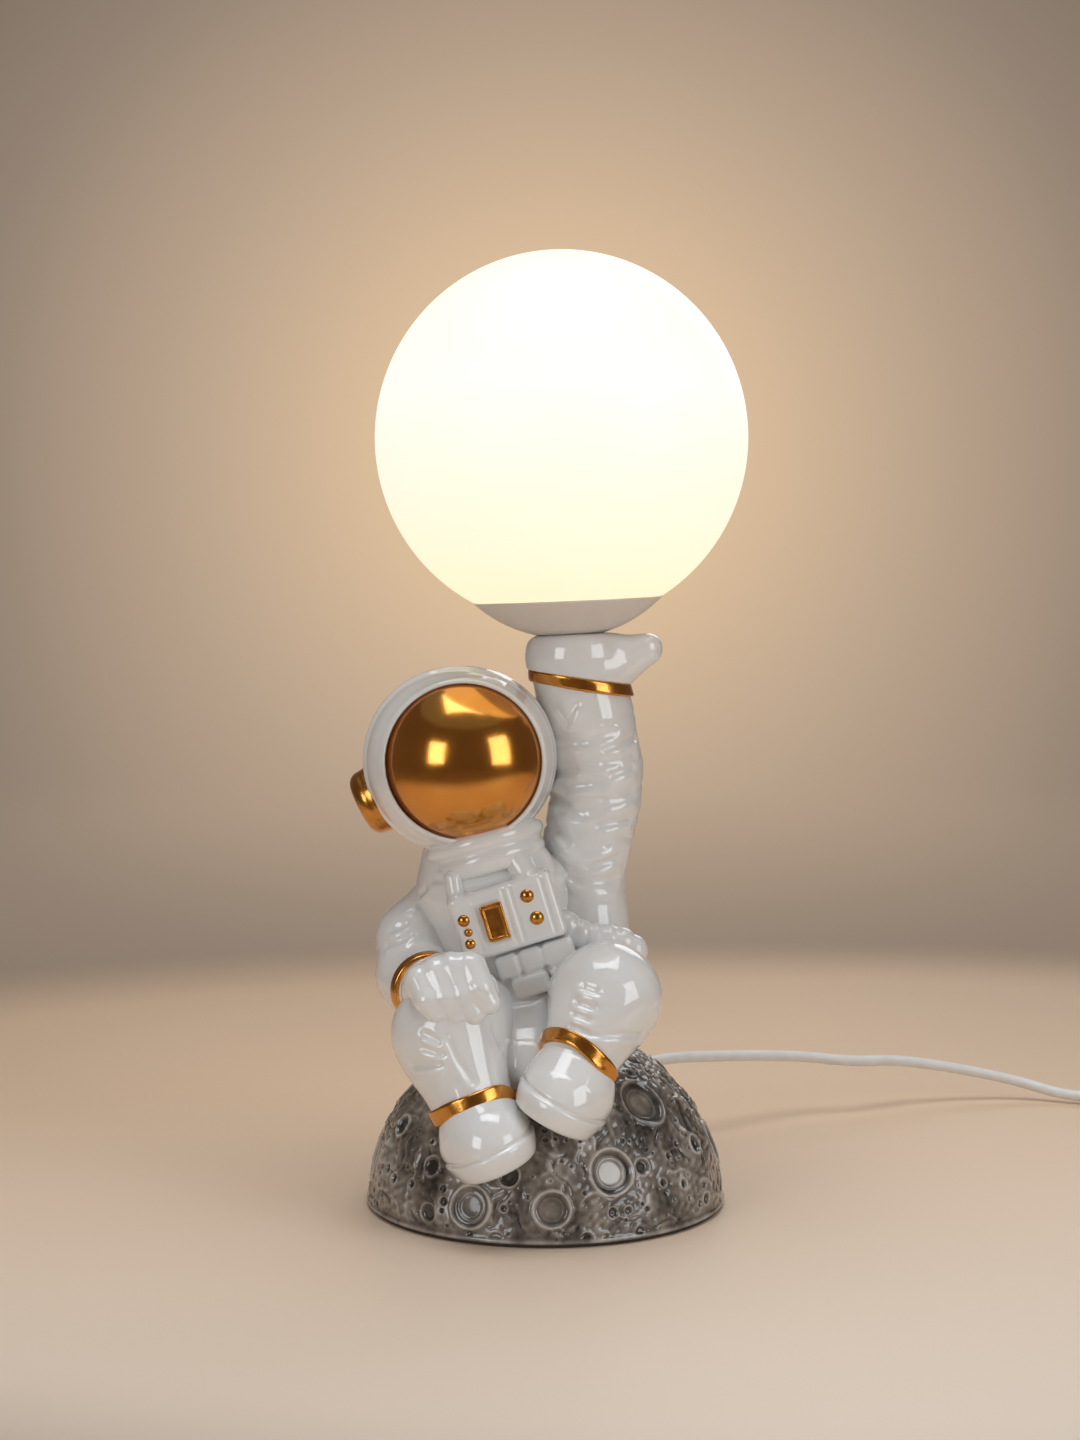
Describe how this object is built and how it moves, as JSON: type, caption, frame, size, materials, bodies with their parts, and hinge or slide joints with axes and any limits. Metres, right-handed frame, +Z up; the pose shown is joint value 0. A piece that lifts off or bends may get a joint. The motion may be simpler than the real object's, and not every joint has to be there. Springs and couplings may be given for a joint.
{
  "type": "table lamp",
  "caption": "Table lamp: a glazed astronaut sits on a cratered rock base and holds up an opal glass globe; a lead with an in-line switch and plug leaves the back.",
  "frame": {"origin": "middle of the underside of the rock base, on the table", "axes": "+Z up; the figure faces -Y; its raised left arm is on the +X side"},
  "size_m": [0.5, 0.2674, 0.3829],
  "materials": {
    "white_glaze": "gloss white glaze",
    "gold_lustre": "metallic gold lustre",
    "rock_glaze": "gloss grey glaze with a dark wash",
    "black_plate": "matt black",
    "dark_pad": "matt",
    "steel": "zinc plated",
    "white_cord": "satin",
    "white_metal": "satin white",
    "bare_metal": "satin",
    "clear_gasket": "matt",
    "opal_glass": "opal, satin",
    "holder_ceramic": "matt",
    "contact_metal": "bare",
    "pin_metal": "nickel plated",
    "white_plastic": "satin gloss",
    "bulb_plastic": "frosted",
    "brown_wire": "matt",
    "blue_wire": "matt"
  },
  "bodies": {
    "lamp": {"backpack": "white_glaze", "belt_pouches": "white_glaze", "bottom_cover": "black_plate", "bottom_pad": "dark_pad", "chest_buttons": "gold_lustre", "chest_pack": "white_glaze", "chest_plate": "gold_lustre", "cord_coil": "white_cord", "cord_gland": "white_cord", "cord_lead": "white_cord", "cord_tie": "white_plastic", "cover_screws": "steel", "ear_cap": "gold_lustre", "globe_collar": "bare_metal", "globe_gasket": "clear_gasket", "helmet": "white_glaze", "holder_contacts": "contact_metal", "lamp_holder": "holder_ceramic", "left_ankle_band": "gold_lustre", "left_arm": "white_glaze", "left_boot": "white_glaze", "left_glove": "white_glaze", "left_leg": "white_glaze", "left_wrist_band": "gold_lustre", "neck_ring": "white_glaze", "plug_body": "white_plastic", "plug_pins": "pin_metal", "right_ankle_band": "gold_lustre", "right_arm": "white_glaze", "right_boot": "white_glaze", "right_glove": "white_glaze", "right_leg": "white_glaze", "right_wrist_band": "gold_lustre", "rock_base": "rock_glaze", "shade_cap": "white_metal", "switch_base": "white_plastic", "switch_contacts": "contact_metal", "switch_cover": "white_plastic", "switch_screws": "steel", "threaded_tube": "steel", "torso": "white_glaze", "tube_nuts": "steel", "tube_washers": "steel", "visor": "gold_lustre", "wire_live": "brown_wire", "wire_neutral": "blue_wire"},
    "globe": {"globe_shade": "opal_glass"},
    "bulb": {"bulb_base": "white_plastic", "bulb_pins": "pin_metal", "bulb_cover": "bulb_plastic"},
    "rocker": {"switch_rocker": "white_plastic"}
  },
  "joints": [
    {"name": "globe_lift", "type": "slide", "parent": "lamp", "child": "globe", "axis": [-0.0419, 0, 0.9991], "range_m": [0, 0.1]},
    {"name": "bulb_pull", "type": "slide", "parent": "lamp", "child": "bulb", "axis": [-0.0419, 0, 0.9991], "range_m": [0, 0.03]},
    {"name": "switch_press", "type": "hinge", "parent": "lamp", "child": "rocker", "pos_m": [0.314, 0.165, 0.0098], "axis": [0, -1, 0], "range_deg": [0, 14]}
  ]
}
